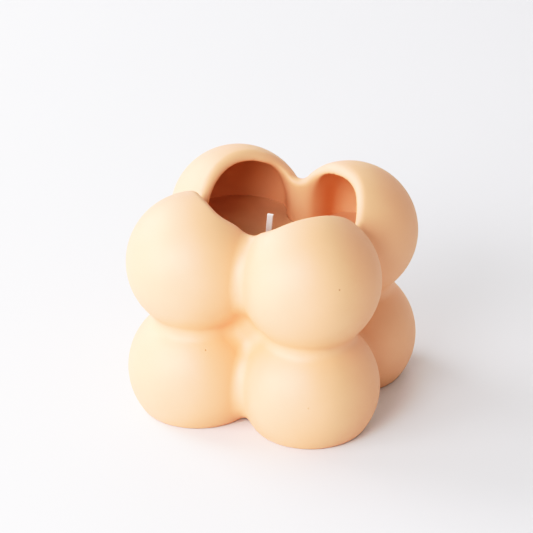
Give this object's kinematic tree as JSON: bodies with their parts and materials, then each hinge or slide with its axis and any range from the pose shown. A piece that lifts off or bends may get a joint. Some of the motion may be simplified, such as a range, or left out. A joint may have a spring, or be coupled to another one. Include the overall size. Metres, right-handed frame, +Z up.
{
  "type": "bubble cube candle",
  "caption": "Cube-shaped cast vessel of merged round bubbles with an open lobed mouth, filled with wax round a flat wick.",
  "frame": {"origin": "middle of the flat base, on the surface that the candle stands on", "axes": "+Z up, -Y the front of the cube, +X to its right"},
  "size_m": [0.1, 0.1, 0.0885],
  "materials": {
    "vessel": "matte cast, peach, with a few pinholes",
    "wax": "satin candle wax",
    "wick": "flat braided cotton",
    "wick_tab": "pressed tinned sheet"
  },
  "bodies": {
    "root": {"vessel": "vessel", "wax": "wax", "wick": "wick", "wick_tab": "wick_tab"}
  },
  "joints": []
}
